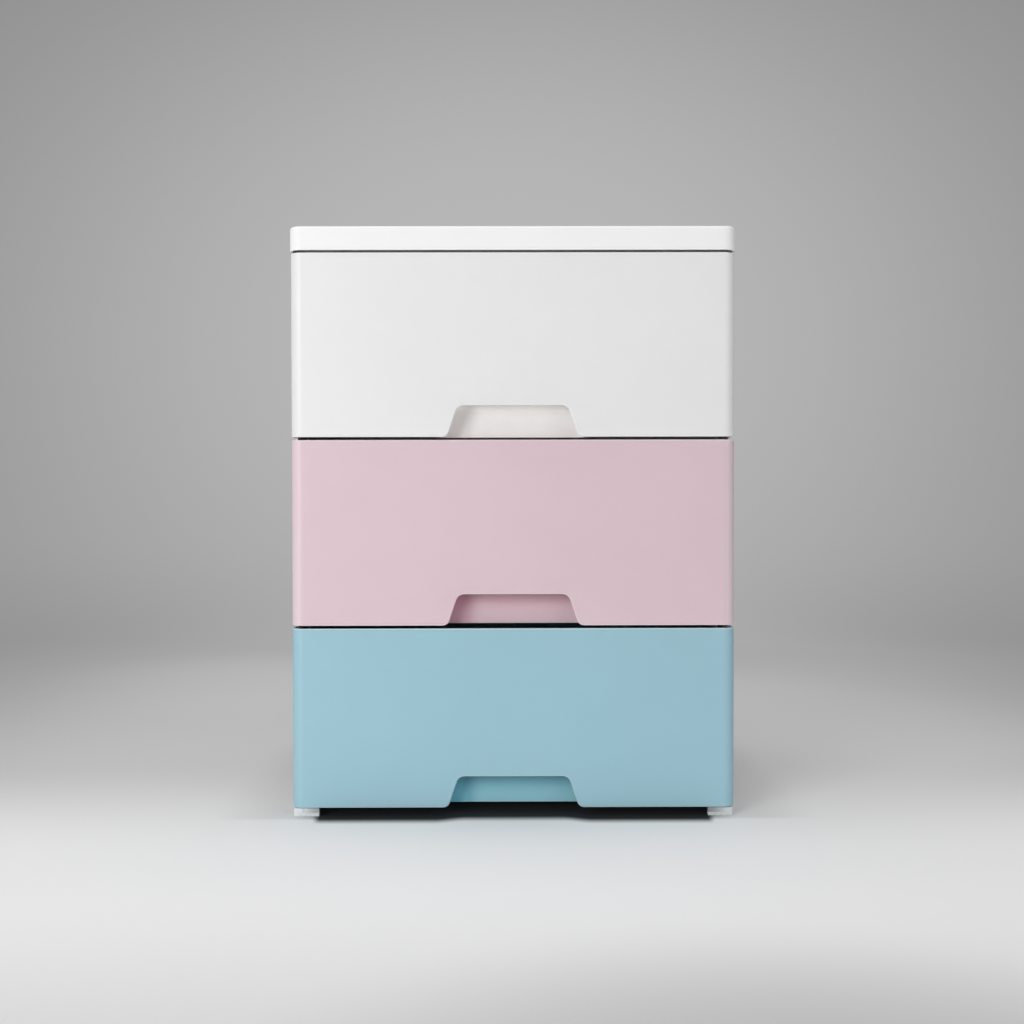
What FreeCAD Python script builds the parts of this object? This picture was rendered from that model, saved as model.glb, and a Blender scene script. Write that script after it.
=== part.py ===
import FreeCAD, Part
import math
import os

# Plastic drawer tower: three full-width drawers in a white carcass that stacks up from moulded panels.
# Each tier has two side panels and a back panel. They stand on a ring, the base or a divider, and carry
# the next ring above. A cover closes the top, and four feet plug into the base.
# A drawer is a deep tub that hangs by its rim on two runners, behind a coloured front that clips on.
# Millimetres. X runs across the front, -Y is the front, +Z is up. The origin is on the floor, below the
# middle of the tower.

# Whole tower
front_width = 420.0          # width of a drawer front
bottom_front_height = 170.0
middle_front_height = 175.4
top_front_height = 173.3
front_depth = 24.4           # from a front's face to its rear edge
seam_gap = 2.7               # between one front and the next
cover_gap = 2.1              # between the top front and the cover
cover_height = 22.6
cover_overhang = 0.6         # how far the cover stands out past the fronts, sides and back
foot_height = 8.0
carcass_depth = 310.0        # from the carcass's front edge to its back
carcass_inset = 1.0          # how far the sides stand in from the ends of the fronts
closing_gap = 0.5            # between a closed front and the carcass
drawer_travel = 240.0        # how far a drawer pulls out before it meets its stops

# Fits
fit_gap = 0.3                # clearance between pieces that are pushed together
overrun = 1.0                # how far a cutting shape runs past the face that it cuts
same_place = 0.001           # two places closer than this are the same

# Drawer fronts
front_wall = 2.5
front_corner_radius = 11.0   # the upright edges, seen from above
front_edge_round = 1.2
front_step = 7.0             # how far the top of a front drops behind its edge, clear of the ring above
pull_top_width = 104.0       # the cut-out that the fingers go into, at its top
pull_bottom_width = 124.0
pull_height = 29.6
pull_top_radius = 8.0
pull_bottom_radius = 7.0
pocket_side_room = 6.0       # from the pull's bottom corner to the pocket's side wall
grip_height = 16.0           # room for fingertips behind the front, above the pull
pocket_wall = 2.2
pocket_round = 7.0
pocket_lip_round = 0.8       # the lower edge of the pocket's rear wall
rib_wall = 1.8
rib_offset = 52.0            # from the pocket to the rib beside it
hook_width = 12.0
hook_thickness = 2.2
hook_root = 14.0             # how far a hook reaches forward along its rib
hook_nose = 3.6              # how far a hook reaches past the tub wall
hook_barb = 1.3
hook_rise = 58.0             # from the tub's floor to the lower hooks
hook_drop = 26.0             # from the tub's rim to the upper hooks

# Drawer tubs
tub_wall = 2.0
tub_draft = 5.0              # how far each side leans in from the rim to the floor
tub_back_radius = 14.0
tub_front_radius = 9.0
tub_floor_round = 4.0
tub_floor_gap = 2.8          # from the ring below to the tub's floor
tub_head_gap = 9.8           # from the tub's rim to the ring above
tub_rear_gap = 3.0           # from the tub to the back panel
rim_width = 9.5              # the flange that rides on the runner
rim_back_width = 4.0
rim_thickness = 2.4
rim_side_gap = 1.0           # from the rim to the inside of the side panel
skid_width = 3.0
skid_height = 1.2
skid_share = 0.5             # where a skid runs, from the middle of the tub to its side

# Runners and stops
runner_wall = 2.4
runner_clearance = 0.2
runner_tip_gap = 1.5         # from the runner's tip to the tub's wall
guide_wall = 2.0             # the rail above the rim, which stops the drawer from tipping
guide_clearance = 0.6
guide_cover = 3.5            # how far the guide reaches over the rim
lug_width = 3.4
lug_length = 5.0
lug_height = 4.0
lug_setback = 3.0            # from the end of the rim to the lug
lug_gap = 0.6                # between the lug and the guide that it passes
stop_length = 4.0
stop_clearance = 0.5
gusset_height = 12.0
gusset_pitch = 56.0

# Side panels
side_skin = 2.4
side_depth = 10.0            # how far the flanges reach in
side_flange = 2.2
panel_edge_round = 0.7
field_margin = 15.0          # border round the sunken field on a panel
field_sink = 0.8
field_radius = 9.0
tongue_length = 34.0
tongue_pitch = 78.0
tongue_thickness = 2.0
tongue_height = 4.5

# Back panels
back_skin = 2.0
back_depth = 10.0
back_flange = 2.0
vent_length = 64.0
vent_width = 4.0
vent_pitch = 11.0
vent_rows = 5
vent_columns = 4
vent_end_share = 0.49        # how much of a vent's width the radius of its round ends takes
catch_length = 22.0
catch_height = 5.0
catch_reach = 1.0            # how far the catch stands into the side panel's skin
catch_share = 0.25           # how far up the panel the lower catch is, and down it the upper one

# Rings: the base, the two dividers and the top deck
divider_height = 14.0
ring_wall = 2.4
ring_web = 2.0
base_side_height = 14.0
base_web_rise = 3.4
ring_edge_round = 0.7
rail_setback = 84.0          # how far a divider's front rail stands back between the side panels
corner_setback = 24.0        # how far the box beside each end of that opening stands back
grid_wall = 1.6
grid_depth = 4.0
grid_pitch = 68.0
spigot_wall = 2.0            # the deck's wall that stands up inside the cover and carries its ribs

# Feet
foot_width = 24.0
foot_inset = 0.8             # how far a foot's outer side stands in from the carcass's side
foot_seat_length = 32.0      # how far a foot reaches under the base
foot_leg_width = 14.0        # the leg of a front foot, which runs forward from its seat
foot_nose_depth = 6.0        # the wall across the front of a front foot
foot_bar_width = 9.5         # the outer end of that wall
foot_tread = 3.0             # height of the tread below the rest of it
foot_step_back = 0.3         # how far the rest stands back
foot_corner_radius = 2.0
foot_edge_round = 0.6
peg_radius = 4.0
peg_height = 4.0
peg_clearance = 0.15
socket_wall = 3.0

# Cover
cover_wall = 2.5
cover_corner_radius = 11.6
cover_top_round = 2.8
tray_margin = 17.0           # border round the sunken top
tray_sink = 1.2
tray_radius = 12.0
cover_rib_depth = 5.0
locator_depth = 17.0         # the rib that drops in front of the deck
catch_rise = 3.5             # from the cover's lower edge to its catches

# Places that follow from the sizes above
tiers = ("bottom", "middle", "top")
sides = {"left": -1, "right": 1}
front_heights = (bottom_front_height, middle_front_height, top_front_height)
front_bottoms = []
next_bottom = foot_height
for height in front_heights:
    front_bottoms.append(next_bottom)
    next_bottom += height + seam_gap
cover_bottom = next_bottom - seam_gap + cover_gap
tower_height = cover_bottom + cover_height
tower_depth = cover_overhang + front_depth + closing_gap + carcass_depth + cover_overhang
face_y = cover_overhang - tower_depth / 2
front_rear_y = face_y + front_depth
carcass_front_y = front_rear_y + closing_gap
carcass_back_y = carcass_front_y + carcass_depth
carcass_half = front_width / 2 - carcass_inset
back_front_y = carcass_back_y - back_depth
panel_inner = carcass_half - side_depth
skin_inner = carcass_half - side_skin
foot_outer = carcass_half - foot_inset
floors = [z - seam_gap / 2 + divider_height / 2 for z in front_bottoms]
ceilings = [z + h + seam_gap / 2 - divider_height / 2 for z, h in zip(front_bottoms, front_heights)]
panel_lows = [foot_height + base_side_height, floors[1], floors[2]]
rim_half = panel_inner - rim_side_gap
tub_half = rim_half - rim_width
rim_rear_y = back_front_y - tub_rear_gap
tub_rear_y = rim_rear_y - rim_back_width
tub_bottoms = [z + tub_floor_gap for z in floors]
tub_tops = [z - tub_head_gap for z in ceilings]
tub_inner_y = front_rear_y + tub_wall
runner_tip = tub_half + runner_tip_gap
guide_tip = rim_half - guide_cover
lug_outer = guide_tip - lug_gap
lug_inner = lug_outer - lug_width
lug_rear_y = rim_rear_y - lug_setback
lug_front_y = lug_rear_y - lug_length
stop_rear_y = lug_front_y - drawer_travel - stop_clearance
pocket_half = pull_bottom_width / 2 + pocket_side_room
pocket_height = pull_height + grip_height
rib_x = pocket_half + pocket_wall + rib_offset
cover_inner_half = front_width / 2 + cover_overhang - cover_wall
cover_back_y = carcass_back_y + cover_overhang
spigot_half = cover_inner_half - fit_gap
spigot_back_y = cover_back_y - cover_wall - fit_gap
cover_ceiling = tower_height - tray_sink - cover_wall
spigot_top = cover_ceiling - cover_rib_depth


def block(x_span, y_span, z_span):
    """A box from the low and high ends of its three spans."""
    (x0, x1), (y0, y1), (z0, z1) = sorted(x_span), sorted(y_span), sorted(z_span)
    return Part.makeBox(x1 - x0, y1 - y0, z1 - z0, FreeCAD.Vector(x0, y0, z0))


def mid_span(centre, length):
    """The span of a length that is centred on a place."""
    return centre - length / 2, centre + length / 2


def across(side, inner, outer):
    """The X span between two distances from the middle, on the left (-1) or right (1)."""
    return side * inner, side * outer


def grown(span, amount):
    """A span made longer at both ends."""
    low, high = sorted(span)
    return low - amount, high + amount


def spaced(low, high, pitch):
    """Places between two limits, evenly spaced by about the pitch and clear of both ends."""
    gaps = max(1, round((high - low) / pitch))
    return [low + (high - low) * step / gaps for step in range(1, gaps)]


def joined(shapes):
    """One solid from shapes that touch or overlap."""
    whole = shapes[0].multiFuse(shapes[1:]).removeSplitter()
    return whole.Solids[0] if len(whole.Solids) == 1 else whole


def less(shape, cutters):
    """A shape with cutters taken out of it."""
    cut = shape.cut(cutters)
    return cut.Solids[0] if len(cut.Solids) == 1 else cut


def near(a, b):
    return abs(a - b) < same_place


def edges_on(shape, axis, places):
    """The edges that lie wholly in a plane across an axis, at one of the places."""
    found = []
    for edge in shape.Edges:
        box = edge.BoundBox
        low, high = getattr(box, axis + "Min"), getattr(box, axis + "Max")
        if near(low, high) and any(near(low, place) for place in places):
            found.append(edge)
    return found


def edges_along(shape, axis):
    """The straight edges that run along an axis."""
    others = [name for name in "XYZ" if name != axis]
    return [e for e in shape.Edges if all(near(getattr(e.BoundBox, name + "Length"), 0) for name in others)]


def rounded_block(x_span, y_span, z_span, axis, radius):
    """A box whose four edges along one axis are rounded."""
    body = block(x_span, y_span, z_span)
    return body.makeFillet(radius, edges_along(body, axis))


def rounded_wire(points, radii):
    """A closed outline through flat points, with each corner rounded to its radius."""
    edges = []
    ends = []
    for index, corner in enumerate(points):
        radius = radii[index]
        if not radius:
            ends.append((corner, corner))
            continue
        to_last = (points[index - 1] - corner).normalize()
        to_next = (points[(index + 1) % len(points)] - corner).normalize()
        half_angle = to_last.getAngle(to_next) / 2
        reach = radius / math.tan(half_angle)
        middle = (to_last + to_next).normalize()
        arc_middle = corner + middle * (radius / math.sin(half_angle) - radius)
        start, end = corner + to_last * reach, corner + to_next * reach
        edges.append(Part.Arc(start, arc_middle, end).toShape())
        ends.append((start, end))
    for index, (_, end) in enumerate(ends):
        start = ends[(index + 1) % len(ends)][0]
        edges.append(Part.LineSegment(end, start).toShape())
    return Part.Wire(Part.__sortEdges__(edges))


def ring(x_half, y_span, z_span, wall, edge_round):
    """An upright rectangular wall with its outer corners and edges softened."""
    outer = rounded_block((-x_half, x_half), y_span, z_span, "Z", wall)
    outer = outer.makeFillet(edge_round, edges_on(outer, "Z", z_span))
    low, high = sorted(y_span)
    inner = block((wall - x_half, x_half - wall), (low + wall, high - wall), grown(z_span, overrun))
    return less(outer, [inner])


def grid(x_half, y_span, z_span, pitch):
    """Crossed stiffening ribs that fill the space inside a ring or under a cover."""
    bars = [block(mid_span(x, grid_wall), y_span, z_span) for x in spaced(-x_half, x_half, pitch)]
    low, high = sorted(y_span)
    bars += [block((-x_half, x_half), mid_span(y, grid_wall), z_span) for y in spaced(low, high, pitch)]
    return bars


def pull_outline(bottom):
    """The tapered cut-out at the lower edge of a front, as a cutting shape through the whole front."""
    beyond = pull_bottom_width / 2 + 2 * pull_bottom_radius
    corners = [
        (-beyond, -overrun, 0),
        (-beyond, 0, 0),
        (-pull_bottom_width / 2, 0, pull_bottom_radius),
        (-pull_top_width / 2, pull_height, pull_top_radius),
        (pull_top_width / 2, pull_height, pull_top_radius),
        (pull_bottom_width / 2, 0, pull_bottom_radius),
        (beyond, 0, 0),
        (beyond, -overrun, 0),
    ]
    points = [FreeCAD.Vector(x, face_y - overrun, bottom + z) for x, z, _ in corners]
    face = Part.Face(rounded_wire(points, [radius for _, _, radius in corners]))
    return face.extrude(FreeCAD.Vector(0, front_depth + 2 * overrun, 0))


def front_hollow(z_span):
    """What is taken out of a front inside its outer wall, open at the rear, between two heights."""
    half = front_width / 2 - front_wall
    hollow = block((-half, half), (face_y + front_wall, front_rear_y + overrun), z_span)
    front_edges = [e for e in edges_along(hollow, "Z") if near(e.BoundBox.YMin, face_y + front_wall)]
    return hollow.makeFillet(front_corner_radius - front_wall, front_edges)


def pocket_shape(half, rear_y, bottom, top, radius):
    """The finger pocket's block, with soft rear corners."""
    body = block((-half, half), (face_y + front_wall, rear_y), (bottom, top))
    rear_edges = [e for e in edges_on(body, "Y", [rear_y]) if e.BoundBox.ZMin > bottom - same_place]
    rear_edges = [e for e in rear_edges if not near(e.BoundBox.ZMax, bottom)]
    return body.makeFillet(radius, rear_edges)


def hook_places(tier):
    """Where a front's hooks go through its tub: X, and the height of the middle of the tongue."""
    upper = tub_tops[tier] - hook_drop
    lower = tub_bottoms[tier] + hook_rise
    return [(-rib_x, upper), (rib_x, upper), (0, upper), (-rib_x, lower), (rib_x, lower)]


def hook(x, z):
    """One clip hook: a tongue through the tub's front wall, with a barb behind the wall."""
    top = z + hook_thickness / 2
    bottom = top - hook_thickness
    catch_y = tub_inner_y + fit_gap
    tip_y = tub_inner_y + hook_nose
    outline = [
        (front_rear_y - hook_root, bottom),
        (tip_y, bottom),
        (tip_y, top),
        (catch_y, top + hook_barb),
        (catch_y, top),
        (front_rear_y - hook_root, top),
    ]
    start = x - hook_width / 2
    points = [FreeCAD.Vector(start, y, height) for y, height in outline]
    face = Part.Face(Part.makePolygon(points + points[:1]))
    return face.extrude(FreeCAD.Vector(hook_width, 0, 0))


def hook_slot(x, z):
    """The window in the tub's front wall that a hook clips through."""
    z_span = (z - hook_thickness / 2 - fit_gap, z + hook_thickness / 2 + hook_barb + fit_gap)
    y_span = grown((front_rear_y, tub_inner_y), overrun)
    return block(mid_span(x, hook_width + 2 * fit_gap), y_span, z_span)


def drawer_front(tier):
    """The coloured front: a thin shell with the pull cut into its lower edge and a pocket behind it."""
    bottom = front_bottoms[tier]
    top = bottom + front_heights[tier]
    half = front_width / 2
    body = block((-half, half), (face_y, front_rear_y), (bottom, top))
    upright = [e for e in edges_along(body, "Z") if near(e.BoundBox.YMin, face_y)]
    body = body.makeFillet(front_corner_radius, upright)
    body = less(body, [pull_outline(bottom)])
    outline = [e for e in edges_on(body, "Y", [face_y]) if e.BoundBox.XLength > same_place]
    body = body.makeFillet(front_edge_round, outline)
    cavity_top = top - front_step - front_wall
    cavity = front_hollow((bottom + front_wall, cavity_top))
    step = front_hollow((top - front_step, top + overrun))
    shell = less(body, [cavity, step])
    pocket_top = bottom + pocket_height
    outer_half, outer_top = pocket_half + pocket_wall, pocket_top + pocket_wall
    pocket = pocket_shape(outer_half, front_rear_y, bottom, outer_top, pocket_round + pocket_wall)
    hollow = pocket_shape(pocket_half, front_rear_y - pocket_wall, bottom - overrun, pocket_top, pocket_round)
    y_span = (face_y + front_wall, front_rear_y)
    ribs = [
        block(mid_span(side * rib_x, rib_wall), y_span, (bottom + front_wall, cavity_top))
        for side in sides.values()
    ]
    ribs.append(block(mid_span(0, rib_wall), y_span, (pocket_top + pocket_wall, cavity_top)))
    hooks = [hook(x, z) for x, z in hook_places(tier)]
    front = less(joined([shell, pocket] + ribs + hooks), [hollow])
    lip = [e for e in edges_on(front, "Z", [bottom]) if is_pocket_lip(e)]
    return front.makeFillet(pocket_lip_round, lip)


def is_pocket_lip(edge):
    """True for the lower edge of the finger pocket's rear wall, on the side that the fingers meet."""
    box = edge.BoundBox
    return near(box.YMin, front_rear_y - pocket_wall) and near(box.YMax, front_rear_y - pocket_wall)


def tub_outline(z, top, bottom, wall):
    """The tub's plan at one height, inside its wall by the given thickness."""
    lean = tub_draft * (top - z) / (top - bottom)
    half = tub_half - lean - wall
    front = front_rear_y + wall
    rear = tub_rear_y - lean - wall
    corners = [(-half, front), (half, front), (half, rear), (-half, rear)]
    front_radius, back_radius = tub_front_radius - wall, tub_back_radius - wall
    radii = [front_radius, front_radius, back_radius, back_radius]
    return rounded_wire([FreeCAD.Vector(x, y, z) for x, y in corners], radii)


def tub_block(low, high, top, bottom, wall, floor_round):
    """The tub's solid or its hollow, between two heights, with the floor's edges rounded."""
    outlines = [tub_outline(z, top, bottom, wall) for z in (low, high)]
    body = Part.makeLoft(outlines, True, True)
    return body.makeFillet(floor_round, edges_on(body, "Z", [low]))


def drawer_tub(tier):
    """The box that holds things: leaning walls, a riding rim, stop lugs and two skids under the floor."""
    bottom, top = tub_bottoms[tier], tub_tops[tier]
    outer = tub_block(bottom, top, top, bottom, 0, tub_floor_round + tub_wall)
    inner = tub_block(bottom + tub_wall, top + overrun, top, bottom, tub_wall, tub_floor_round)
    rim = block((-rim_half, rim_half), (front_rear_y, rim_rear_y), (top - rim_thickness, top))
    rim_corners = [e for e in edges_along(rim, "Z") if near(e.BoundBox.YMin, rim_rear_y)]
    rim = rim.makeFillet(rim_width, rim_corners)
    pieces = [outer, rim]
    for side in sides.values():
        lug_x = across(side, lug_inner, lug_outer)
        pieces.append(block(lug_x, (lug_front_y, lug_rear_y), (top - rim_thickness, top + lug_height)))
        skid_x = side * tub_half * skid_share
        skid_y = (tub_inner_y + tub_floor_round, tub_rear_y - tub_draft - 2 * tub_back_radius)
        pieces.append(block(mid_span(skid_x, skid_width), skid_y, (bottom - skid_height, bottom + tub_wall)))
    slots = [hook_slot(x, z) for x, z in hook_places(tier)]
    return less(joined(pieces), [inner] + slots)


def gusset(side, y, top):
    """One web under a runner: as deep as the panel's flange, and out to the runner's tip at the top."""
    outline = [
        (skin_inner, top),
        (runner_tip, top),
        (runner_tip, top - runner_wall / 2),
        (panel_inner, top - gusset_height),
        (skin_inner, top - gusset_height),
    ]
    start = y - rib_wall / 2
    points = [FreeCAD.Vector(side * x, start, z) for x, z in outline]
    face = Part.Face(Part.makePolygon(points + points[:1]))
    return face.extrude(FreeCAD.Vector(0, rib_wall, 0))


def catch_levels(low, high):
    """The heights of the catches on a back panel and of their recesses in the side panels."""
    inset = (high - low) * catch_share
    return low + inset, high - inset


def tongue_spans():
    """Where a side panel's tongues lie along its length."""
    return [mid_span(y, tongue_length) for y in spaced(carcass_front_y, back_front_y, tongue_pitch)]


def side_panel(tier, side):
    """One side of a tier: an outer skin with a sunken field, flanges, a runner and the guide above it."""
    low, high = panel_lows[tier], ceilings[tier]
    rim_top = tub_tops[tier]
    skin = block(across(side, skin_inner, carcass_half), (carcass_front_y, carcass_back_y), (low, high))
    skin = skin.makeFillet(panel_edge_round, edges_on(skin, "X", [side * carcass_half]))
    inner_x = across(side, panel_inner, carcass_half - side_skin / 2)
    inner_y = (carcass_front_y, back_front_y - fit_gap)
    pieces = [
        skin,
        block(inner_x, (carcass_front_y, carcass_front_y + side_flange), (low, high)),
        block(inner_x, inner_y, (low, low + side_flange)),
        block(inner_x, inner_y, (high - side_flange, high)),
        block(inner_x, (inner_y[1] - side_flange, inner_y[1]), (low, high)),
    ]
    runner_top = rim_top - rim_thickness - runner_clearance
    runner_x = across(side, runner_tip, carcass_half - side_skin / 2)
    pieces.append(block(runner_x, inner_y, (runner_top - runner_wall, runner_top)))
    guide_low = rim_top + guide_clearance
    guide_x = across(side, guide_tip, carcass_half - side_skin / 2)
    pieces.append(block(guide_x, inner_y, (guide_low, guide_low + guide_wall)))
    stop_x = across(side, lug_inner, carcass_half - side_skin / 2)
    stop_z = (guide_low, rim_top + lug_height + guide_wall)
    pieces.append(block(stop_x, (stop_rear_y - stop_length, stop_rear_y), stop_z))
    web_x = across(side, panel_inner, carcass_half - side_skin / 2)
    for y in spaced(carcass_front_y, back_front_y, gusset_pitch):
        pieces.append(gusset(side, y, runner_top - runner_wall / 2))
        pieces.append(block(web_x, mid_span(y, rib_wall), (low, runner_top - gusset_height)))
    tongue_outer = carcass_half - ring_wall - fit_gap
    tongue_x = across(side, tongue_outer - tongue_thickness, tongue_outer)
    for y_span in tongue_spans():
        pieces.append(block(tongue_x, y_span, (low - tongue_height, low + side_flange)))
        pieces.append(block(tongue_x, y_span, (high - side_flange, high + tongue_height)))
    field = rounded_block(
        across(side, carcass_half - field_sink, carcass_half + overrun),
        (carcass_front_y + field_margin, carcass_back_y - field_margin),
        (low + field_margin, high - field_margin),
        "X",
        field_radius,
    )
    recess_x = across(side, skin_inner - overrun, skin_inner + catch_reach + fit_gap)
    recess_y = grown(mid_span((back_front_y + carcass_back_y) / 2, catch_height), fit_gap)
    recesses = [
        block(recess_x, recess_y, grown(mid_span(z, catch_length), fit_gap)) for z in catch_levels(low, high)
    ]
    return less(joined(pieces), [field] + recesses)


def back_panel(tier):
    """The back of a tier: a flanged plate that clips between the side panels, with rows of vents."""
    low, high = panel_lows[tier], ceilings[tier] - fit_gap
    half = skin_inner - fit_gap
    body = block((-half, half), (back_front_y, carcass_back_y), (low, high))
    body = body.makeFillet(panel_edge_round, edges_on(body, "Y", [carcass_back_y]))
    hollow = block(
        (back_flange - half, half - back_flange),
        (back_front_y - overrun, carcass_back_y - back_skin),
        (low + back_flange, high - back_flange),
    )
    shell = less(body, [hollow])
    column_step = 2 * half / vent_columns
    ribs = [
        block(mid_span(x, rib_wall), (back_front_y, carcass_back_y - back_skin / 2), (low, high))
        for x in spaced(-half, half, column_step)
    ]
    catches = []
    for side in sides.values():
        catch_x = across(side, half - back_flange / 2, skin_inner + catch_reach)
        catch_y = mid_span((back_front_y + carcass_back_y) / 2, catch_height)
        catches += [
            block(catch_x, catch_y, mid_span(z, catch_length))
            for z in catch_levels(low, ceilings[tier])
        ]
    panel = joined([shell] + ribs + catches)
    cutters = []
    top_row = high - field_margin - field_radius
    y_span = grown((carcass_back_y - back_skin, carcass_back_y), overrun)
    for column in range(vent_columns):
        x_span = mid_span((2 * column + 1) * column_step / 2 - half, vent_length)
        for row in range(vent_rows):
            z_span = mid_span(top_row - row * vent_pitch, vent_width)
            cutters.append(rounded_block(x_span, y_span, z_span, "Y", vent_width * vent_end_share))
    return less(panel, cutters)


def divider(tier):
    """The ring between a tier and the one above it, closed by a ribbed web, with its front rail set back."""
    low, high = ceilings[tier], floors[tier + 1]
    middle = (low + high) / 2
    y_span = (carcass_front_y, carcass_back_y)
    inner_half = carcass_half - ring_wall / 2
    inner_y = grown(y_span, -ring_wall / 2)
    web_z = mid_span(middle, ring_web)
    pieces = [
        ring(carcass_half, y_span, (low, high), ring_wall, ring_edge_round),
        block((-inner_half, inner_half), inner_y, web_z),
    ]
    rib_half = carcass_half - side_depth
    pieces += grid(rib_half, inner_y, (web_z[0] - grid_depth, middle), grid_pitch)
    rail_y = carcass_front_y + rail_setback
    rail_half = panel_inner + ring_wall
    pieces.append(block((-rail_half, rail_half), (inner_y[0], rail_y + ring_wall), (low, high)))
    notch_y = (carcass_front_y - overrun, rail_y)
    notch_z = grown((low, high), overrun)
    notch = block((-panel_inner, panel_inner), notch_y, notch_z)
    corner_half = carcass_half - ring_wall
    corner_y = (carcass_front_y - overrun, carcass_front_y + corner_setback)
    corners = block((-corner_half, corner_half), corner_y, notch_z)
    return less(joined(pieces), [notch, corners])


def peg_places():
    """The middle of each foot's peg, in plan."""
    x = foot_outer - foot_leg_width / 2
    front = carcass_front_y + foot_seat_length / 2
    rear = carcass_back_y - foot_seat_length / 2
    places = {}
    for name, side in sides.items():
        places[(name, "front")] = (side * x, front)
        places[(name, "rear")] = (side * x, rear)
    return places


def base():
    """The bottom ring: a low front edge that the bottom drawer passes over, and a socket at each foot."""
    y_span = (carcass_front_y, carcass_back_y)
    low, high = foot_height, panel_lows[0]
    web_low = low + base_web_rise
    frame = ring(carcass_half, y_span, (low, high), ring_wall, ring_edge_round)
    front_opening = block(
        (-panel_inner, panel_inner),
        grown((carcass_front_y, carcass_front_y + ring_wall), overrun),
        (floors[0], high + overrun),
    )
    inner_half = carcass_half - ring_wall / 2
    inner_y = grown(y_span, -ring_wall / 2)
    web = block((-inner_half, inner_half), inner_y, (web_low, web_low + ring_web))
    pieces = [less(frame, [front_opening]), web]
    rib_half = carcass_half - foot_width - socket_wall
    pieces += grid(rib_half, inner_y, (low, web_low + ring_web / 2), grid_pitch)
    socket_radius = peg_radius + peg_clearance
    boss_height = base_web_rise + ring_web / 2
    socket_depth = peg_height + fit_gap
    sockets = []
    for x, y in peg_places().values():
        pieces.append(Part.makeCylinder(socket_radius + socket_wall, boss_height, FreeCAD.Vector(x, y, low)))
        mouth = FreeCAD.Vector(x, y, low - overrun)
        sockets.append(Part.makeCylinder(socket_radius, socket_depth + overrun, mouth))
    return less(joined(pieces), sockets)


def front_foot(side, seat_y):
    """A leg that reaches forward under the bottom drawer to a low wall, whose face is stepped."""
    z_span = (0, foot_height - fit_gap)
    leg = block(across(side, foot_outer - foot_leg_width, foot_outer), (face_y, seat_y[1]), z_span)
    nose_x = across(side, foot_outer - foot_width, foot_outer)
    nose = block(nose_x, (face_y, face_y + foot_nose_depth), z_span)
    body = joined([leg, nose])
    corner = [e for e in edges_along(body, "Z") if near(e.BoundBox.YMin, face_y)]
    body = body.makeFillet(foot_corner_radius, [e for e in corner if near(abs(e.BoundBox.XMin), foot_outer)])
    step_x = across(side, foot_outer - foot_width - overrun, foot_outer - foot_bar_width)
    step = block(step_x, (face_y - overrun, face_y + foot_step_back), (foot_tread, foot_height))
    seat = block(across(side, foot_outer - foot_leg_width, foot_outer), seat_y, (foot_tread, foot_height))
    return joined([less(body, [step]), seat])


def foot(name, end):
    """A foot with a peg that plugs into the base."""
    side = sides[name]
    x, y = peg_places()[(name, end)]
    seat_y = mid_span(y, foot_seat_length)
    if end == "front":
        body = front_foot(side, seat_y)
    else:
        x_span = across(side, foot_outer - foot_width, foot_outer)
        body = rounded_block(x_span, seat_y, (0, foot_height), "Z", foot_corner_radius)
    body = body.makeFillet(foot_edge_round, edges_on(body, "Z", [0]))
    peg_length = foot_height - foot_tread + peg_height
    peg = Part.makeCylinder(peg_radius, peg_length, FreeCAD.Vector(x, y, foot_tread))
    return joined([body, peg])


def cover_catches(depth, grow):
    """Catches inside the cover, which clip into windows in the deck's spigot."""
    low = cover_bottom + catch_rise
    z_span = grown((low, low + catch_height), grow)
    found = []
    for side in sides.values():
        x_span = across(side, cover_inner_half - depth, cover_inner_half + cover_wall / 2)
        found += [block(x_span, grown(y_span, grow), z_span) for y_span in tongue_spans()]
    return found


def top_deck():
    """The ring on the top tier, closed by a web, with a wall that stands up inside the cover."""
    low = ceilings[-1]
    y_span = (carcass_front_y, carcass_back_y)
    band = ring(carcass_half, y_span, (low, cover_bottom), ring_wall, ring_edge_round)
    inner_half = carcass_half - ring_wall / 2
    inner_y = grown(y_span, -ring_wall / 2)
    web_low = cover_bottom - ring_web
    web = block((-inner_half, inner_half), inner_y, (web_low, cover_bottom))
    spigot_y = (carcass_front_y, spigot_back_y)
    spigot = block((-spigot_half, spigot_half), spigot_y, (web_low + ring_web / 2, spigot_top))
    rear_edges = [e for e in edges_along(spigot, "Z") if near(e.BoundBox.YMin, spigot_back_y)]
    spigot = spigot.makeFillet(cover_corner_radius - cover_wall, rear_edges)
    well_half = spigot_half - spigot_wall
    well_y = grown(spigot_y, -spigot_wall)
    well = block((-well_half, well_half), well_y, (cover_bottom, spigot_top + overrun))
    rear_edges = [e for e in edges_along(well, "Z") if near(e.BoundBox.YMin, well_y[1])]
    well = well.makeFillet(cover_corner_radius - cover_wall - spigot_wall, rear_edges)
    pieces = [band, web, spigot]
    pieces += grid(panel_inner, inner_y, (web_low - grid_depth, web_low + ring_web / 2), grid_pitch)
    return less(joined(pieces), [well] + cover_catches(spigot_wall + 2 * fit_gap, fit_gap))


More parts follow.
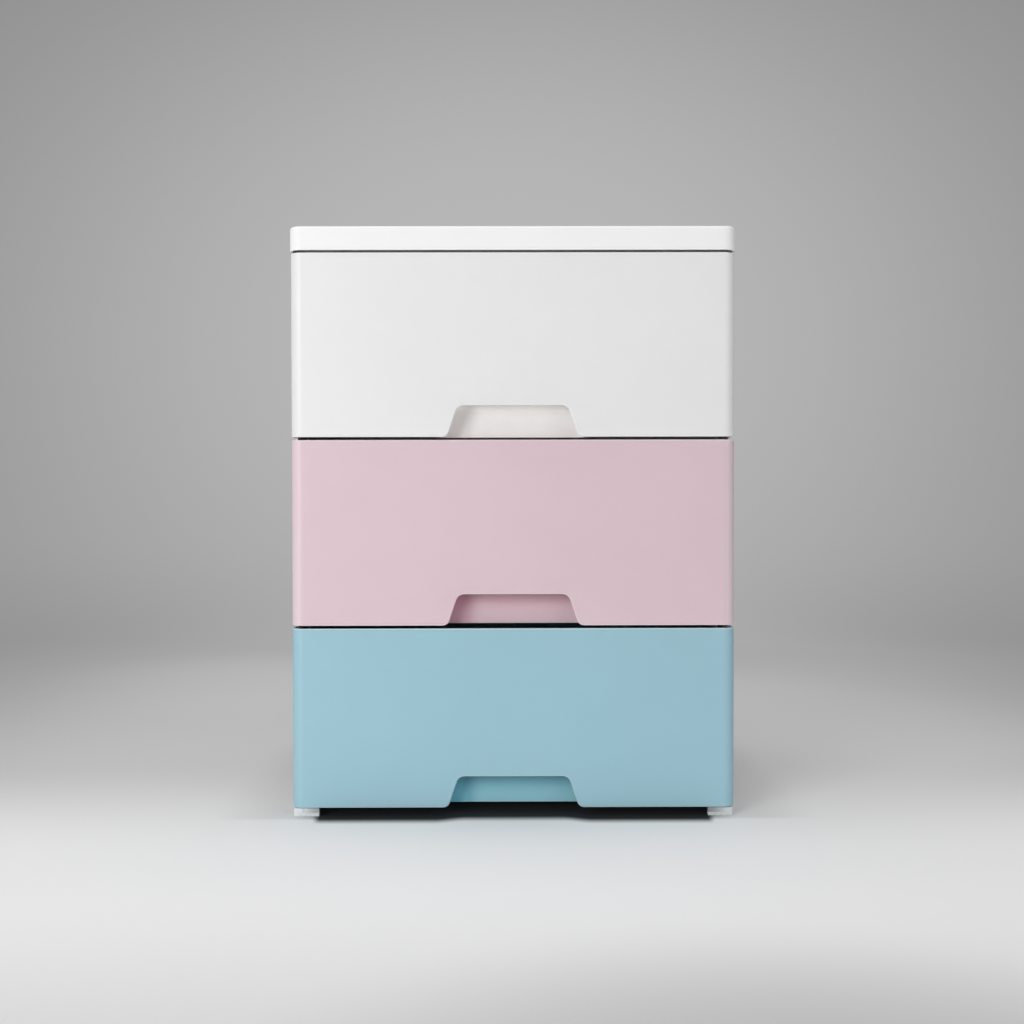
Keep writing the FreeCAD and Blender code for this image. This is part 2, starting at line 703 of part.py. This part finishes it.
def top_cover():
    """The lid: a shallow shell with a sunken top, ribs under it and catches inside its sides."""
    half = front_width / 2 + cover_overhang
    y_span = (face_y - cover_overhang, cover_back_y)
    top = tower_height
    body = rounded_block((-half, half), y_span, (cover_bottom, top), "Z", cover_corner_radius)
    body = body.makeFillet(cover_top_round, edges_on(body, "Z", [top]))
    body = body.makeFillet(panel_edge_round, edges_on(body, "Z", [cover_bottom]))
    inner_y = grown(y_span, -cover_wall)
    inner_x = (-cover_inner_half, cover_inner_half)
    inner_z = (cover_bottom - overrun, cover_ceiling)
    inner = rounded_block(inner_x, inner_y, inner_z, "Z", cover_corner_radius - cover_wall)
    tray_x = (tray_margin - half, half - tray_margin)
    tray_y = grown(y_span, -tray_margin)
    tray = rounded_block(tray_x, tray_y, (top - tray_sink, top + overrun), "Z", tray_radius)
    shell = less(body, [inner, tray])
    rim_edges = [e for e in edges_on(shell, "Z", [top]) if abs(e.BoundBox.Center.x) < half - cover_top_round]
    rim_edges = [e for e in rim_edges if is_tray_edge(e, half, y_span)]
    shell = shell.makeFillet(tray_sink / 2, rim_edges)
    rib_z = (spigot_top, cover_ceiling + cover_wall / 2)
    pieces = [shell] + grid(cover_inner_half, inner_y, rib_z, grid_pitch)
    locator_y = (carcass_front_y - fit_gap - grid_wall, carcass_front_y - fit_gap)
    locator_z = (cover_ceiling - locator_depth, cover_ceiling + cover_wall / 2)
    pieces.append(block((-panel_inner, panel_inner), locator_y, locator_z))
    pieces += cover_catches(spigot_wall, 0)
    return joined(pieces)


def is_tray_edge(edge, half, y_span):
    """True for an edge of the sunken tray on the cover's top."""
    box = edge.BoundBox
    inside_x = max(abs(box.XMin), abs(box.XMax)) < half - tray_margin + same_place
    return inside_x and box.YMin > y_span[0] + tray_margin - same_place


def build():
    """Every piece of the tower, by name."""
    pieces = {"top_cover": top_cover(), "top_deck": top_deck(), "base_frame": base()}
    pieces["lower_divider"] = divider(0)
    pieces["upper_divider"] = divider(1)
    for name, end in peg_places():
        pieces[f"foot_{end}_{name}"] = foot(name, end)
    for tier, label in enumerate(tiers):
        pieces[f"back_panel_{label}"] = back_panel(tier)
        pieces[f"drawer_tub_{label}"] = drawer_tub(tier)
        pieces[f"drawer_front_{label}"] = drawer_front(tier)
        for name, side in sides.items():
            pieces[f"side_panel_{label}_{name}"] = side_panel(tier, side)
    return pieces


os.makedirs("parts", exist_ok=True)
for piece_name, shape in build().items():
    shape.exportStep(f"parts/{piece_name}.step")
    print(piece_name, "solids", len(shape.Solids), "valid", shape.isValid(), "volume", round(shape.Volume))
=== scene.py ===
import bmesh
import bpy
import math
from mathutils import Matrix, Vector


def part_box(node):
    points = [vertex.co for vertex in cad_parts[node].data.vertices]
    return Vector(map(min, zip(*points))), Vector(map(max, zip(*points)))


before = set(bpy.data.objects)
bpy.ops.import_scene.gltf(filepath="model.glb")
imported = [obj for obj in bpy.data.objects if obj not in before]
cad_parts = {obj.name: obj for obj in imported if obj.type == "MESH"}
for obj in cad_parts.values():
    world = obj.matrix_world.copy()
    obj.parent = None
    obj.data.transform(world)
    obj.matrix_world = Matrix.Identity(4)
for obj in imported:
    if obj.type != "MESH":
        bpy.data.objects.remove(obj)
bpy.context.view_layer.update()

# Looks for a plastic drawer tower: three coloured fronts in a white carcass, on a pale studio floor.
# Metres, same frame as the CAD: -Y is the front, +Z is up, the floor is at z = 0.
# Tones are screen values from 0 to 255.

print("frame:", len(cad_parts), "nodes")


# Shader maths as plain expressions

class Wire:
    # a socket in a node tree; numbers and other wires combine with it by the usual operators

    def __init__(self, tree, socket):
        self.tree = tree
        self.socket = socket

    def math(self, operation, *others):
        return self.tree.math(operation, self, *others)

    def __add__(self, other):
        return self.math("ADD", other)

    def __radd__(self, other):
        return self.math("ADD", other)

    def __sub__(self, other):
        return self.math("SUBTRACT", other)

    def __rsub__(self, other):
        return self.tree.math("SUBTRACT", other, self)

    def __mul__(self, other):
        return self.math("MULTIPLY", other)

    def __abs__(self):
        return self.math("ABSOLUTE")


class Tree:
    # a material's or a world's node tree, emptied

    def __init__(self, owner):
        owner.use_nodes = True
        self.nodes = owner.node_tree.nodes
        self.links = owner.node_tree.links
        self.nodes.clear()

    def add(self, kind, settings=None, values=None, out=0):
        node = self.nodes.new(kind)
        for name, value in (settings or {}).items():
            setattr(node, name, value)
        for key, value in (values or {}).items():
            if isinstance(value, Wire):
                self.links.new(value.socket, node.inputs[key])
            else:
                node.inputs[key].default_value = value
        return Wire(self, node.outputs[out]) if len(node.outputs) else node

    def math(self, operation, *values):
        return self.add("ShaderNodeMath", {"operation": operation}, dict(enumerate(values)))

    def vector(self, operation, *values, out=0):
        return self.add("ShaderNodeVectorMath", {"operation": operation}, dict(enumerate(values)), out)

    def length(self, value):
        return self.vector("LENGTH", value, out=1)

    def split(self, value):                      # a vector's x, y and z
        return [self.add("ShaderNodeSeparateXYZ", {}, {0: value}, axis) for axis in range(3)]

    def mix(self, factor, first, second, blend="MIX"):
        settings = {"data_type": "RGBA", "blend_type": blend}
        return self.add("ShaderNodeMix", settings, {0: factor, 6: first, 7: second}, 2)

    def ramp(self, value, low, high):            # 0 below low, 1 above high, smooth between
        settings = {"interpolation_type": "SMOOTHSTEP"}
        return self.add("ShaderNodeMapRange", settings, {0: value, 1: low, 2: high})

    def fade(self, value, low, high):            # 1 below low, 0 above high
        return 1.0 - self.ramp(value, low, high)

    def noise(self, place, scale, detail=2.0, rough=0.5, shift=(0.0, 0.0, 0.0), stretch=(1.0, 1.0, 1.0)):
        moved = self.add("ShaderNodeMapping", {}, {0: place, 1: shift, 3: stretch})
        values = {"Vector": moved, "Scale": scale, "Detail": detail, "Roughness": rough}
        return self.add("ShaderNodeTexNoise", {}, values)

    def bump(self, height, depth, normal):
        values = {"Strength": 1.0, "Distance": depth, "Height": height, "Normal": normal}
        return self.add("ShaderNodeBump", {}, values)


screenCurve = {"knee": 0.04045, "slope": 12.92, "offset": 0.055, "power": 2.4}


def linear(tone):                                # a screen tone as the colour that light is worked out with
    def one(value):
        share = value / 255
        if share <= screenCurve["knee"]:
            return share / screenCurve["slope"]
        return ((share + screenCurve["offset"]) / (1 + screenCurve["offset"])) ** screenCurve["power"]
    return (*[one(value) for value in tone], 1.0)


# Moulded plastic

plasticFinish = {
    "roughness": 0.42,
    "roughnessPlay": 0.14,        # how far gloss wanders over a panel
    "ior": 1.49,
    "mottle": 0.036,              # share by which the tone wanders
    "grainSize": 0.0009,          # the fine texture of the mould
    "grainDepth": 0.000012,
    "rippleSize": 0.055,          # slow unevenness of a thin wall
    "rippleDepth": 0.00009,
    "edgeRadius": 0.0006,
    "edgeHighlight": 0.10,             # painted highlight: how much paler a sharp edge is
    "levelHighlight": 0.35,            # and a rounded one that runs level
    "uprightHighlight": 0.0,           # or upright
    "dust": 0.05,
    "scratch": 0.10,
}

# painted light and shade in the finger pocket, as tints: low down, up under the edge from headFrom, and towards
# its left side
plastics = {
    "lidWhite": {"colour": (240, 240, 240), "roughness": 0.55},
    "carcassWhite": {"colour": (232, 232, 231)},
    "footWhite": {"colour": (213, 219, 221), "scuffTop": 0.004, "roughness": 0.5},
    "frontWhite": {
        "colour": (228, 228, 228), "levelHighlight": 0.5, "pull": "drawer_front_top", "headFrom": (0.019, 0.029),
        "lowTint": (1.20, 1.17, 1.15), "headTint": (1.55, 1.52, 1.47), "sideTint": (1.0, 1.0, 1.0),
        "shadeTint": (1.4, 1.4, 1.4),
    },
    "frontPink": {
        "colour": (214, 190, 198), "uprightHighlight": 0.12, "pull": "drawer_front_middle",
        "headFrom": (0.008, 0.028), "lowTint": (1.07, 1.03, 1.03), "headTint": (0.93, 0.73, 0.77),
        "sideTint": (0.97, 0.85, 0.88), "shadeTint": (1.35, 1.20, 1.28),
    },
    "frontBlue": {
        "colour": (150, 189, 202), "pull": "drawer_front_bottom", "headFrom": (0.006, 0.028),
        "lowTint": (0.86, 1.08, 1.08), "headTint": (0.38, 0.68, 0.74), "sideTint": (0.75, 0.93, 0.98),
        "shadeTint": (1.36, 1.61, 1.63),
    },
    "tubWhite": {"colour": (230, 230, 230), "roughness": 0.46},
    "tubPink": {"colour": (216, 192, 200), "roughness": 0.46},
    "tubBlue": {"colour": (152, 191, 204), "roughness": 0.46},
}

textures = {
    "slow": {"scale": 7.0, "detail": 3.0},
    "middling": {"scale": 46.0, "detail": 3.0, "rough": 0.6, "shift": (3.1, 0.0, 1.7)},
    "speckle": {"scale": 900.0, "rough": 0.7},
    "patch": {"scale": 11.0, "detail": 4.0, "rough": 0.6, "shift": (0.0, 5.0, 2.0)},
    "along": {
        "scale": 40.0, "detail": 1.0, "rough": 0.4, "shift": (1.0, 2.0, 0.0), "stretch": (1.0, 24.0, 22.0),
    },
    "down": {
        "scale": 36.0, "detail": 1.0, "rough": 0.4, "shift": (4.0, 0.0, 2.0), "stretch": (20.0, 18.0, 1.0),
    },
    "sparse": {"scale": 9.0, "shift": (7.0, 1.0, 3.0)},
    "smudge": {"scale": 60.0, "detail": 4.0, "rough": 0.65, "shift": (2.0, 6.0, 4.0)},
    "scuff": {"scale": 320.0, "detail": 3.0, "rough": 0.7},
}
noiseMiddle = 0.5
toneShares = {"slow": 1.4, "middling": 0.6}
glossShares = {"slow": 1.2, "middling": 0.8}

edges = {"sharp": (0.01, 0.20), "turned": (0.10, 0.35), "flat": (0.93, 0.99), "bevelSamples": 4}
dusting = {
    "upward": (0.75, 0.98), "patchy": (0.50, 0.78), "speckle": 0.5, "patch": 0.7,
    "tone": (196, 192, 186), "rougher": 1.5,
}
scratches = {"along": (0.70, 0.76), "down": (0.72, 0.78), "sparse": (0.52, 0.72), "rougher": 0.5, "deeper": 0.8}
handling = {
    "reachX": 0.085, "reachZ": 0.040, "rise": 0.020, "within": (0.35, 1.15), "smudge": (0.42, 0.66),
    "tone": (150, 140, 130), "darker": 0.030, "smoother": 0.07,
}
pocket = {
    "halfWidth": 0.071, "height": 0.050, "depth": (0.004, 0.010), "soft": 0.002,
    "sideTo": (-0.046, -0.030), "shadeTo": (-0.053, -0.041),
}
scuffing = {"patchy": (0.45, 0.62), "tone": (150, 148, 144), "darker": 0.35, "rougher": 0.2}
# painted shade on the feet: the inner end under the drawer, and the right-hand foot
footShade = {
    "inward": (0.186, 0.204), "tread": (0.0029, 0.0036), "darker": 0.50,
    "farSideFrom": (-0.1, 0.1), "farSide": 0.16, "tone": (60, 66, 68),
}


def pocketPaintedLight(tree, colour, look, low, spot):
    # painted light and shade in the finger pocket, standing in for light that bounces about in it and comes
    # through
    # the thin front: deeper colour up under the edge, and a paler one where the edge throws its shade
    across, inward, height = spot
    soft = pocket["soft"]
    top = low.z + pocket["height"]
    inside = tree.ramp(inward, *[low.y + depth for depth in pocket["depth"]])
    inside = inside * tree.fade(abs(across), pocket["halfWidth"], pocket["halfWidth"] + soft)
    inside = inside * tree.fade(height, top, top + soft)
    head = tree.ramp(height, *[low.z + rise for rise in look["headFrom"]])
    paintedLight = tree.mix(head, (*look["lowTint"], 1.0), (*look["headTint"], 1.0))
    for zone in ("side", "shade"):
        within = tree.fade(across, *pocket[zone + "To"])
        paintedLight = tree.mix(within, paintedLight, tree.vector("MULTIPLY", paintedLight, look[zone + "Tint"]))
    return tree.mix(inside, colour, tree.vector("MULTIPLY", colour, paintedLight))


def handledShare(tree, place, low, high, smudge):
    # fingers darken and smooth the plastic round the pull
    centre = ((low.x + high.x) / 2, low.y, low.z + handling["rise"])
    reach = (1 / handling["reachX"], 1 / handling["reachX"], 1 / handling["reachZ"])
    away = tree.vector("MULTIPLY", tree.vector("SUBTRACT", place, centre), reach)
    return tree.fade(tree.length(away), *handling["within"]) * tree.ramp(smudge, *handling["smudge"])


def mouldedPlastic(name, own):
    look = {**plasticFinish, **own}
    material = bpy.data.materials.new(name)
    tree = Tree(material)
    place = tree.add("ShaderNodeTexCoord", out=3)
    spot = tree.split(place)
    across, inward, height = spot
    normal = tree.add("ShaderNodeNewGeometry", out=1)

    def texture(kind):
        return tree.noise(place, **textures[kind])

    # slow changes of tone and gloss, as a large moulding has
    slow = texture("slow") - noiseMiddle
    middling = texture("middling") - noiseMiddle
    tone = 1.0 + (slow * toneShares["slow"] + middling * toneShares["middling"]) * look["mottle"]
    gloss = slow * glossShares["slow"] + middling * glossShares["middling"]

    # painted highlights: sharp edges are painted a little paler, and rounded ones are painted paler where they
    # would catch the light
    bevel = {"samples": edges["bevelSamples"]}
    softNormal = tree.add("ShaderNodeBevel", bevel, {"Radius": look["edgeRadius"]})
    facing = tree.vector("DOT_PRODUCT", softNormal, normal, out=1)
    edge = tree.ramp(1.0 - facing, *edges["sharp"])
    towardsX, _, upward = tree.split(normal)
    sideways, level = abs(towardsX), abs(upward)
    levelEdge = tree.ramp(level, *edges["turned"]) * tree.fade(level, *edges["flat"])
    uprightEdge = tree.ramp(sideways, *edges["turned"]) * tree.fade(sideways, *edges["flat"])
    roundedHighlight = levelEdge * look["levelHighlight"] + uprightEdge * (1.0 - levelEdge) * look["uprightHighlight"]
    paintedHighlight = (edge * look["edgeHighlight"] + roundedHighlight).math("MINIMUM", 1.0)

    # dust settles on faces that look up
    patchy = texture("speckle") * dusting["speckle"] + texture("patch") * dusting["patch"]
    dust = tree.ramp(upward, *dusting["upward"]) * tree.ramp(patchy, *dusting["patchy"]) * look["dust"]

    # hairline scratches, two crossing sets
    along, down, sparse = [tree.ramp(texture(kind), *scratches[kind]) for kind in ("along", "down", "sparse")]
    hair = (along + down) * sparse * look["scratch"]

    wandering = tree.add("ShaderNodeCombineColor", {}, {channel: tone for channel in range(3)})
    colour = tree.mix(1.0, linear(look["colour"]), wandering, "MULTIPLY")
    colour = tree.mix(paintedHighlight, colour, (1.0, 1.0, 1.0, 1.0))
    colour = tree.mix(dust, colour, linear(dusting["tone"]))
    rough = look["roughness"] + gloss * look["roughnessPlay"]
    rough = rough + dust * dusting["rougher"] + hair * scratches["rougher"]

    if "pull" in look:
        low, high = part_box(look["pull"])
        colour = pocketPaintedLight(tree, colour, look, low, spot)
        handled = handledShare(tree, place, low, high, texture("smudge"))
        colour = tree.mix(handled * handling["darker"], colour, linear(handling["tone"]))
        rough = rough - handled * handling["smoother"]
    if "scuffTop" in look:
        # scuffed at the tread; painted shade towards the inner end, under the drawer, and on the right-hand
        # foot
        scuff = tree.fade(height, 0.0, look["scuffTop"]) * tree.ramp(texture("scuff"), *scuffing["patchy"])
        colour = tree.mix(scuff * scuffing["darker"], colour, linear(scuffing["tone"]))
        inner = tree.fade(abs(across), *footShade["inward"]) * tree.ramp(height, *footShade["tread"])
        farSide = tree.ramp(across, *footShade["farSideFrom"])
        footPaintedShade = inner * footShade["darker"] + farSide * footShade["farSide"]
        colour = tree.mix(footPaintedShade, colour, linear(footShade["tone"]))
        rough = rough + scuff * scuffing["rougher"]

    # the mould's fine texture and the slow ripple of a thin wall
    grain = tree.noise(place, 1 / look["grainSize"], 2.0, 0.55)
    ripple = tree.noise(place, 1 / look["rippleSize"], 1.0, 0.4, (9.0, 3.0, 5.0))
    waved = tree.bump(ripple, look["rippleDepth"], softNormal)
    grained = tree.bump(grain - hair * scratches["deeper"], look["grainDepth"], waved)

    values = {"Base Color": colour, "Roughness": rough, "IOR": look["ior"], "Normal": grained}
    tree.add("ShaderNodeOutputMaterial", {}, {0: tree.add("ShaderNodeBsdfPrincipled", {}, values)})
    return material


materials = {name: mouldedPlastic(name, own) for name, own in plastics.items()}
print("materials:", len(materials))

tierShades = {"top": "White", "middle": "Pink", "bottom": "Blue"}


def plasticFor(node):
    if node == "top_cover":
        return "lidWhite"
    if node.startswith("foot"):
        return "footWhite"
    for tier, shade in tierShades.items():
        if node == "drawer_front_" + tier:
            return "front" + shade
        if node == "drawer_tub_" + tier:
            return "tub" + shade
    return "carcassWhite"


for node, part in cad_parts.items():
    part.data.materials.clear()
    part.data.materials.append(materials[plasticFor(node)])
print("plastic on every moulding")


# Studio: a pale floor that runs into a round grey cove

studio = {
    "floorRings": (0.0, 0.5, 1.0, 2.0),
    "coveRadius": 0.9,
    "wallHeight": 3.2,
    "sides": 160,
    "arcSteps": 24,
    "dimTone": (158, 158, 158),                  # painted shade, away from the light
    "glowTone": (207, 207, 207),                 # painted light: the lit patch of wall behind the tower
    "glowCentre": (0.0, 2.9, 0.8),
    "glowStretch": (1.0, 0.25, 1.25),
    "glowReach": (0.45, 2.5),
    "floorTop": (0.0, 0.2),                      # by this height the floor's tones end
    "floorTone": (219, 219, 219),                # the floor round the tower
    "floorFar": (0.1, 1.3),                      # where it turns into the wall's tone
    "sideTone": (166, 166, 166),                 # painted shade on the floor well to the left and right
    "sideReach": (0.3, 1.3),
    "sideFar": (0.9, 2.6),
    "poolTone": (250, 250, 250),                 # painted light: the lit band of floor in front of the tower
    "poolNear": (-0.80, -0.40),                  # where it fades in, from the camera's side
    "poolFar": (-0.30, 0.06),                    # and where it fades out again
    "backdropFrom": (0.8, 1.3),                  # past this the studio is a backdrop with a light of its own
    "backdropLevel": 0.75,
    "nearShare": 0.12,                           # and so, by this share, is the floor before it
    "roughness": 0.75,
    "specular": 0.2,
    "patches": [                                 # painted light, where the light on the floor is uneven
        {"tone": (224, 224, 224), "centre": (0.32, 0.36, 0.0), "reach": (0.2, 0.75)},
        {"tone": (222, 222, 222), "centre": (-0.42, 0.62, 0.0), "reach": (0.1, 0.5)},
    ],
    # painted shade on the floor towards the camera
    "nearPatch": {"tone": (200, 200, 200), "centre": (0.15, -0.85, 0.0), "reach": (0.15, 0.40)},
    "shadeTone": (42, 44, 46),                   # painted shadow under the tower, where no light comes
}
# painted shadow on the floor under the tower
underShade = {
    "halfWidth": 0.188, "softWidth": 0.004, "halfDepth": 0.1868, "softDepth": 0.011,
    "widenFrom": -0.166, "widenSlope": 0.155, "sideTo": (0.198, 0.2085),    # as it is seen past the front feet
    "pullBack": 0.009, "pullFrom": (0.045, 0.075),                          # less of it under the finger pull
}
# painted shadow on the floor beside the feet
feetPaintedShadow = {
    "near": 0.36, "nearTo": (0.183, 0.215), "wide": 0.15, "wideTo": (0.215, 0.30),
    "right": 0.01, "rightFrom": (-0.1, 0.1),
    "sideFrom": (0.172, 0.188), "inwardFrom": (-0.183, -0.171), "inwardTo": (0.10, 0.25),
}


def addThing(name, data):
    thing = bpy.data.objects.new(name, data)
    bpy.context.scene.collection.objects.link(thing)
    return thing


def turned(name, profile, sides):                # a surface of revolution; the profile is (radius, height)
    mesh = bpy.data.meshes.new(name)
    shape = bmesh.new()
    rings = []
    angles = [2 * math.pi * step / sides for step in range(sides)]
    for radius, height in profile:
        if radius == 0:
            rings.append([shape.verts.new((0, 0, height))])
            continue
        rings.append([shape.verts.new((radius * math.cos(a), radius * math.sin(a), height)) for a in angles])
    for inner, outer in zip(rings, rings[1:]):
        for step in range(sides):
            after = (step + 1) % sides
            if len(inner) == 1:
                shape.faces.new((inner[0], outer[step], outer[after]))
            else:
                shape.faces.new((inner[step], outer[step], outer[after], inner[after]))
    for face in shape.faces:
        face.smooth = True
    shape.to_mesh(mesh)
    shape.free()
    return addThing(name, mesh)


def shadedFloor(tree, colour, across, inward, onFloor):
    shadeTone = linear(studio["shadeTone"])
    side = abs(across)

    # painted shadow: no light comes under the tower
    under = underShade
    back = tree.fade(side, *under["pullFrom"]) * under["pullBack"]
    past = side - (inward - under["widenFrom"]) * under["widenSlope"]
    shade = tree.fade(side, *under["sideTo"])
    for reach, half, soft in (
        (past, under["halfWidth"], under["softWidth"]),
        (abs(inward) + back, under["halfDepth"], under["softDepth"]),
    ):
        shade = shade * tree.fade(reach, half - soft, half + soft)
    colour = tree.mix(shade, colour, shadeTone)

    # and a painted shadow beside the feet, where less of it comes
    wide = tree.ramp(across, *feetPaintedShadow["rightFrom"]) * feetPaintedShadow["right"] + feetPaintedShadow["wide"]
    less = tree.fade(side, *feetPaintedShadow["nearTo"]) * feetPaintedShadow["near"] + tree.fade(side, *feetPaintedShadow["wideTo"]) * wide
    less = less * tree.ramp(side, *feetPaintedShadow["sideFrom"]) * onFloor
    less = less * tree.ramp(inward, *feetPaintedShadow["inwardFrom"]) * tree.fade(inward, *feetPaintedShadow["inwardTo"])
    return tree.mix(less, colour, shadeTone)


def studioPaint(name):
    material = bpy.data.materials.new(name)
    tree = Tree(material)
    place = tree.add("ShaderNodeTexCoord", out=3)
    across, inward, height = tree.split(place)

    def patched(colour, patch):
        away = tree.vector("DISTANCE", place, patch["centre"], out=1)
        return tree.mix(tree.fade(away, *patch["reach"]), colour, linear(patch["tone"]))

    # the tones of the wall and of the floor, with painted light and shade
    away = tree.vector("MULTIPLY", tree.vector("SUBTRACT", place, studio["glowCentre"]), studio["glowStretch"])
    glow = tree.fade(tree.length(away), *studio["glowReach"])
    colour = tree.mix(glow, linear(studio["dimTone"]), linear(studio["glowTone"]))
    onFloor = tree.fade(height, *studio["floorTop"])
    colour = tree.mix(tree.fade(inward, *studio["floorFar"]) * onFloor, colour, linear(studio["floorTone"]))
    for patch in studio["patches"]:
        colour = patched(colour, patch)
    aside = tree.ramp(abs(across), *studio["sideReach"]) * tree.fade(inward, *studio["sideFar"])
    colour = tree.mix(aside * onFloor, colour, linear(studio["sideTone"]))
    pool = tree.ramp(inward, *studio["poolNear"]) * tree.fade(inward, *studio["poolFar"])
    colour = tree.mix(pool * onFloor, colour, linear(studio["poolTone"]))
    colour = patched(colour, studio["nearPatch"])
    colour = shadedFloor(tree, colour, across, inward, onFloor)
    values = {"Base Color": colour, "Roughness": studio["roughness"], "Specular IOR Level": studio["specular"]}
    lit = tree.add("ShaderNodeBsdfPrincipled", {}, values)

    # far off, the tones are shown as they are, so that the backdrop needs no more light on the tower
    shown = tree.add("ShaderNodeEmission", {}, {"Color": colour, "Strength": studio["backdropLevel"]})
    fromMiddle = tree.length(tree.vector("MULTIPLY", place, (1.0, 1.0, 0.0)))
    kinds = ("Is Camera Ray", "Is Glossy Ray", "Is Transmission Ray")
    direct, mirrored, through = [tree.add("ShaderNodeLightPath", out=kind) for kind in kinds]
    seen = direct.math("MAXIMUM", mirrored).math("MAXIMUM", through)
    nearShare = studio["nearShare"]
    share = nearShare + tree.ramp(fromMiddle, *studio["backdropFrom"]) * (1.0 - nearShare)
    mixed = tree.add("ShaderNodeMixShader", {}, {0: share * seen, 1: lit, 2: shown})
    tree.add("ShaderNodeOutputMaterial", {}, {0: mixed})
    return material


paint = studioPaint("studioPaint")
floor = turned("floor", [(radius, 0) for radius in studio["floorRings"]], studio["sides"])
coveProfile = []
for step in range(studio["arcSteps"] + 1):
    angle = math.pi / 2 * step / studio["arcSteps"]
    radius = studio["floorRings"][-1] + studio["coveRadius"] * math.sin(angle)
    coveProfile.append((radius, studio["coveRadius"] * (1 - math.cos(angle))))
coveProfile.append((coveProfile[-1][0], studio["wallHeight"]))
cove = turned("cove", coveProfile, studio["sides"])
for stagePiece in (floor, cove):
    stagePiece.data.materials.append(paint)
cove.visible_diffuse = False                     # the cove is seen, but doesn't shut out the sky light
cove.visible_shadow = False
print("studio")


# Light: a large soft box low on the left, a weaker one on the right, one overhead, and a soft room light
# that is dim in front of the tower, brighter behind it, most to the left, and brighter again far right

lamps = {
    "key": {"place": (-1.432, -2.291, 0.741), "aim": (0.0, -0.168, 0.29), "size": (1.3, 1.3), "power": 38.7},
    "fill": {"place": (1.622, -2.101, 0.919), "aim": (0.0, -0.168, 0.29), "size": (1.3, 1.3), "power": 5.8},
    "overhead": {"place": (0.0, -0.3, 2.1), "aim": (0.0, 0.0, 0.0), "size": (1.6, 1.6), "power": 9.8},
}
room = {
    "front": 0.30, "back": 0.55, "turn": (-0.35, 0.45), "lean": 0.6, "right": 0.32, "rightFrom": (0.55, 0.95),
}

for lampName, lamp in lamps.items():
    light = bpy.data.lights.new(lampName, "AREA")
    light.shape = "RECTANGLE"
    light.size, light.size_y = lamp["size"]
    light.energy = lamp["power"]
    thing = addThing(lampName, light)
    thing.visible_camera = False
    thing.location = lamp["place"]
    thing.rotation_euler = (Vector(lamp["aim"]) - thing.location).to_track_quat("-Z", "Y").to_euler()

world = bpy.data.worlds.new("sky")
bpy.context.scene.world = world
sky = Tree(world)
skyAcross, skyInward, _ = sky.split(sky.add("ShaderNodeTexCoord"))
behind = sky.ramp(skyInward, *room["turn"]) * (1.0 - skyAcross * room["lean"])
farRight = sky.ramp(skyAcross, *room["rightFrom"])
strength = room["front"] + behind * (room["back"] - room["front"]) + farRight * room["right"]
background = sky.add("ShaderNodeBackground", {}, {"Color": (1.0, 1.0, 1.0, 1.0), "Strength": strength})
sky.add("ShaderNodeOutputWorld", {}, {0: background})
print("light")


# Camera: straight on, a little above the tower's middle, tipped down by one degree

view = {
    "place": (-0.0062, -1.3664, 0.311), "lens": 44.72,
    "downDegrees": 1.10, "rollDegrees": 0.1, "turnDegrees": -0.243,
}
eye = bpy.data.cameras.new("camera")
eye.lens = view["lens"]
camera = addThing("camera", eye)
camera.location = view["place"]
turns = (90 - view["downDegrees"], view["rollDegrees"], view["turnDegrees"])
camera.rotation_euler = [math.radians(turn) for turn in turns]
bpy.context.scene.camera = camera
bpy.context.scene.view_settings.view_transform = "Standard"
print("camera")
